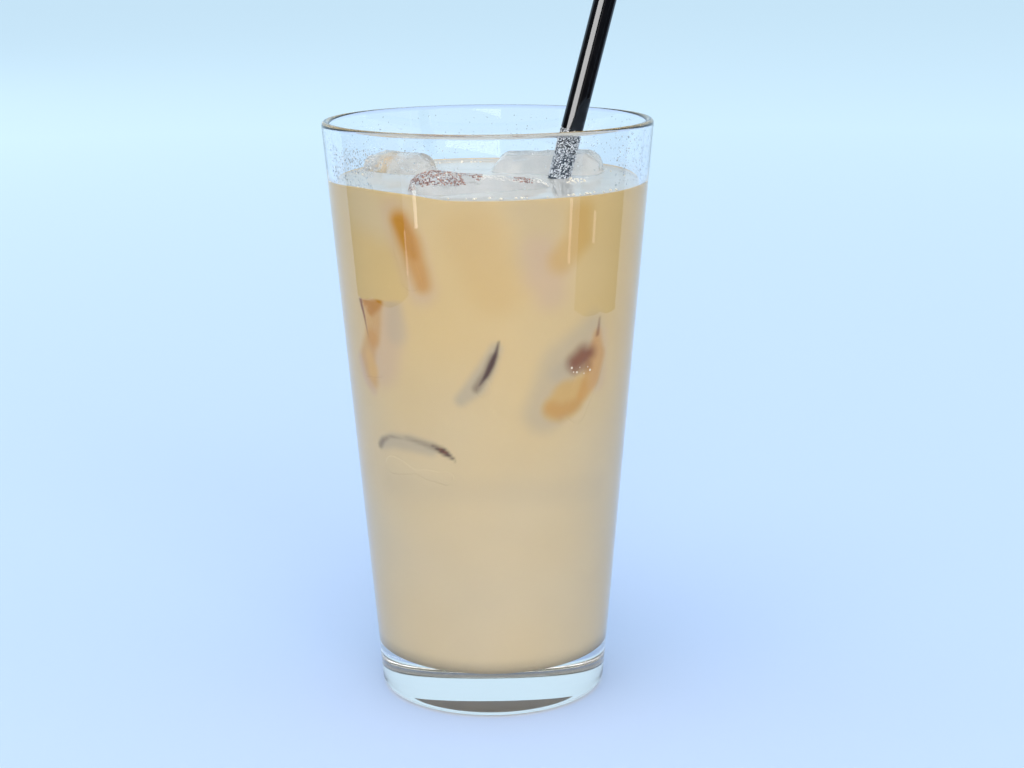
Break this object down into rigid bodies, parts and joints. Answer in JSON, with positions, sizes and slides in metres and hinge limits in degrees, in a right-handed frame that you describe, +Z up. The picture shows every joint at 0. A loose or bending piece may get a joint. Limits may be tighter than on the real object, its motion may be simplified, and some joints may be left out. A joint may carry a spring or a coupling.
{
  "type": "iced latte in a glass",
  "caption": "Tall conical clear glass of iced latte with floating ice cubes and a black drinking straw leaning to the right.",
  "frame": {"origin": "middle of the ring that the glass stands on, at the bottom centre of the whole", "axes": "+Z up along the axis of the glass, +X to the right towards the side that the straw leans to, +Y to the back"},
  "size_m": [0.0884, 0.0884, 0.2163],
  "materials": {
    "clear_glass": "polished clear",
    "milky_coffee": "opaque milky liquid with a glossy surface",
    "black_straw": "glossy",
    "ice": "wet, partly frosted"
  },
  "bodies": {
    "root": {"glass": "clear_glass", "latte": "milky_coffee", "straw": "black_straw", "ice_left": "ice", "ice_right": "ice", "ice_front": "ice"}
  },
  "joints": []
}
